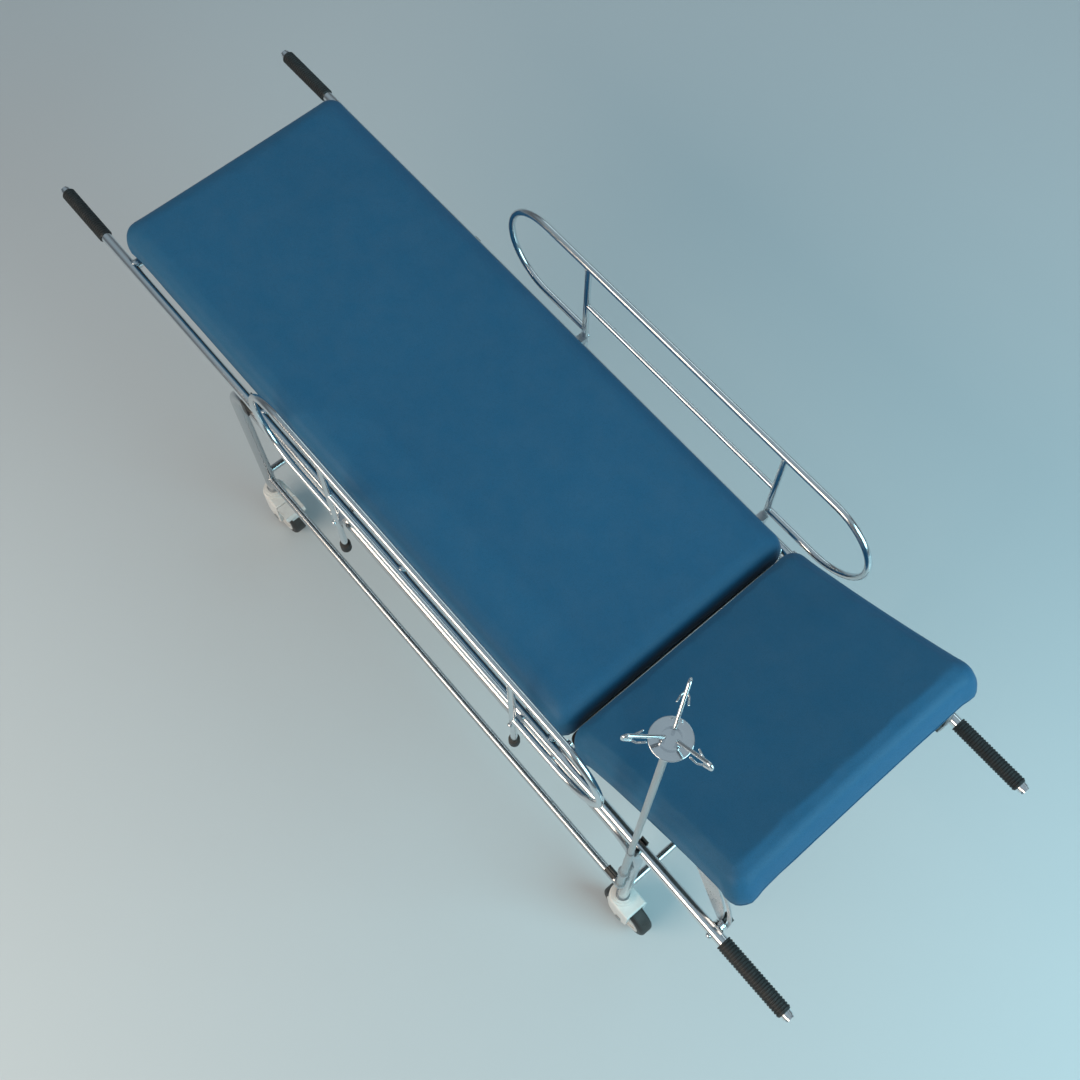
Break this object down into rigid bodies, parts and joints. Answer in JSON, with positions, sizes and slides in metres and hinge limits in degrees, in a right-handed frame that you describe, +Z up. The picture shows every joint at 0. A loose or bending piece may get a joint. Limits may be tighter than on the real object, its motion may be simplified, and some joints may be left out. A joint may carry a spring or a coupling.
{
  "type": "stretcher trolley",
  "caption": "Patient stretcher trolley: a lift-off padded litter with raising head section and side rails, on a tube frame with swivel castors and an infusion pole.",
  "frame": {"origin": "on the floor, below the middle of the overall length and width; the litter's middle line lies 23 mm to the far side of it", "axes": "+X towards the head end, +Y to the side without the infusion pole, +Z up"},
  "size_m": [2.2, 0.6989, 1.5475],
  "materials": {
    "frame_tube": "polished stainless tube, lightly brushed",
    "litter_tube": "polished stainless tube",
    "rail_tube": "polished stainless tube",
    "iv_satin": "satin",
    "bright_steel": "bright",
    "plain_steel": "turned",
    "pressed_plate": "pressed sheet",
    "black_moulding": "fine grain",
    "deck_board": "black stained plywood",
    "pad_cover": "coated upholstery, fine grain",
    "grip_rubber": "ribbed",
    "foot_rubber": "matt",
    "hood_moulding": "semi-gloss",
    "hub_moulding": "semi-gloss",
    "tyre_rubber": "matt",
    "pedal_moulding": "semi-gloss"
  },
  "bodies": {
    "trolley": {"near_side_frame": "frame_tube", "far_side_frame": "frame_tube", "near_lower_tube": "frame_tube", "far_lower_tube": "frame_tube", "foot_cross_tube": "frame_tube", "head_cross_tube": "frame_tube", "upper_cross_tubes": "frame_tube", "cradle_forks": "black_moulding", "cradle_posts": "frame_tube", "caster_stems": "plain_steel", "iv_outer_tube": "iv_satin", "iv_clamp_rings": "iv_satin"},
    "litter": {"near_litter_tube": "litter_tube", "far_litter_tube": "litter_tube", "litter_cross_tubes": "litter_tube", "body_deck": "deck_board", "body_pad": "pad_cover", "grip_foot_near": "grip_rubber", "grip_foot_far": "grip_rubber", "grip_head_near": "grip_rubber", "grip_head_far": "grip_rubber", "end_plugs": "bright_steel", "near_rail": "rail_tube", "far_rail": "rail_tube", "litter_feet": "foot_rubber", "rail_brackets": "pressed_plate", "rail_bolts": "bright_steel", "hinge_bolts": "bright_steel", "clamp_bolts": "bright_steel"},
    "head_section": {"head_board": "deck_board", "head_pad": "pad_cover", "head_hinge_ears": "pressed_plate", "near_quadrant": "pressed_plate", "far_quadrant": "pressed_plate"},
    "clamp_knob_near": {"near_clamp_knob": "black_moulding"},
    "clamp_knob_far": {"far_clamp_knob": "black_moulding"},
    "iv_mast": {"iv_pole": "iv_satin", "iv_hook_disc": "bright_steel", "iv_hooks": "bright_steel"},
    "iv_knob": {"iv_clamp_knob": "black_moulding"},
    "caster_foot_near": {"hood_foot_near": "hood_moulding", "axle_foot_near": "plain_steel"},
    "wheel_foot_near": {"hub_foot_near": "hub_moulding", "tyre_foot_near": "tyre_rubber"},
    "brake_foot_near": {"pedal_foot_near": "pedal_moulding"},
    "caster_foot_far": {"hood_foot_far": "hood_moulding", "axle_foot_far": "plain_steel"},
    "wheel_foot_far": {"hub_foot_far": "hub_moulding", "tyre_foot_far": "tyre_rubber"},
    "brake_foot_far": {"pedal_foot_far": "pedal_moulding"},
    "caster_head_near": {"hood_head_near": "hood_moulding", "axle_head_near": "plain_steel"},
    "wheel_head_near": {"hub_head_near": "hub_moulding", "tyre_head_near": "tyre_rubber"},
    "caster_head_far": {"hood_head_far": "hood_moulding", "axle_head_far": "plain_steel"},
    "wheel_head_far": {"hub_head_far": "hub_moulding", "tyre_head_far": "tyre_rubber"}
  },
  "joints": [
    {"name": "litter_lift", "type": "slide", "parent": "trolley", "child": "litter", "axis": [0, 0, 1], "range_m": [0, 0.15]},
    {"name": "head_raise", "type": "hinge", "parent": "litter", "child": "head_section", "pos_m": [0.515, 0.02317, 0.686], "axis": [0, -1, 0], "range_deg": [-25, 2]},
    {"name": "clamp_turn_near", "type": "hinge", "parent": "litter", "child": "clamp_knob_near", "pos_m": [0.9166, -0.23583, 0.686], "axis": [0, -1, 0], "range_deg": [-180, 180]},
    {"name": "clamp_turn_far", "type": "hinge", "parent": "litter", "child": "clamp_knob_far", "pos_m": [0.9166, 0.28217, 0.686], "axis": [0, 1, 0], "range_deg": [-180, 180]},
    {"name": "iv_height", "type": "slide", "parent": "trolley", "child": "iv_mast", "axis": [0, 0, 1], "range_m": [0, 0.25]},
    {"name": "iv_clamp_turn", "type": "hinge", "parent": "trolley", "child": "iv_knob", "pos_m": [0.709, -0.29523, 0.427], "axis": [-1, 0, 0], "range_deg": [-180, 180]},
    {"name": "swivel_foot_near", "type": "hinge", "parent": "trolley", "child": "caster_foot_near", "pos_m": [-0.509, -0.26683, 0.14], "axis": [0, 0, 1], "continuous": true},
    {"name": "roll_foot_near", "type": "hinge", "parent": "caster_foot_near", "child": "wheel_foot_near", "pos_m": [-0.485, -0.26683, 0.0625], "axis": [0, 1, 0], "continuous": true},
    {"name": "brake_press_foot_near", "type": "hinge", "parent": "caster_foot_near", "child": "brake_foot_near", "pos_m": [-0.453, -0.26683, 0.127], "axis": [0, 1, 0], "range_deg": [0, 4]},
    {"name": "swivel_foot_far", "type": "hinge", "parent": "trolley", "child": "caster_foot_far", "pos_m": [-0.509, 0.31317, 0.14], "axis": [0, 0, 1], "continuous": true},
    {"name": "roll_foot_far", "type": "hinge", "parent": "caster_foot_far", "child": "wheel_foot_far", "pos_m": [-0.485, 0.31317, 0.0625], "axis": [0, 1, 0], "continuous": true},
    {"name": "brake_press_foot_far", "type": "hinge", "parent": "caster_foot_far", "child": "brake_foot_far", "pos_m": [-0.453, 0.31317, 0.127], "axis": [0, 1, 0], "range_deg": [0, 4]},
    {"name": "swivel_head_near", "type": "hinge", "parent": "trolley", "child": "caster_head_near", "pos_m": [0.734, -0.26683, 0.14], "axis": [0, 0, 1], "continuous": true},
    {"name": "roll_head_near", "type": "hinge", "parent": "caster_head_near", "child": "wheel_head_near", "pos_m": [0.758, -0.26683, 0.0625], "axis": [0, 1, 0], "continuous": true},
    {"name": "swivel_head_far", "type": "hinge", "parent": "trolley", "child": "caster_head_far", "pos_m": [0.734, 0.31317, 0.14], "axis": [0, 0, 1], "continuous": true},
    {"name": "roll_head_far", "type": "hinge", "parent": "caster_head_far", "child": "wheel_head_far", "pos_m": [0.758, 0.31317, 0.0625], "axis": [0, 1, 0], "continuous": true}
  ]
}
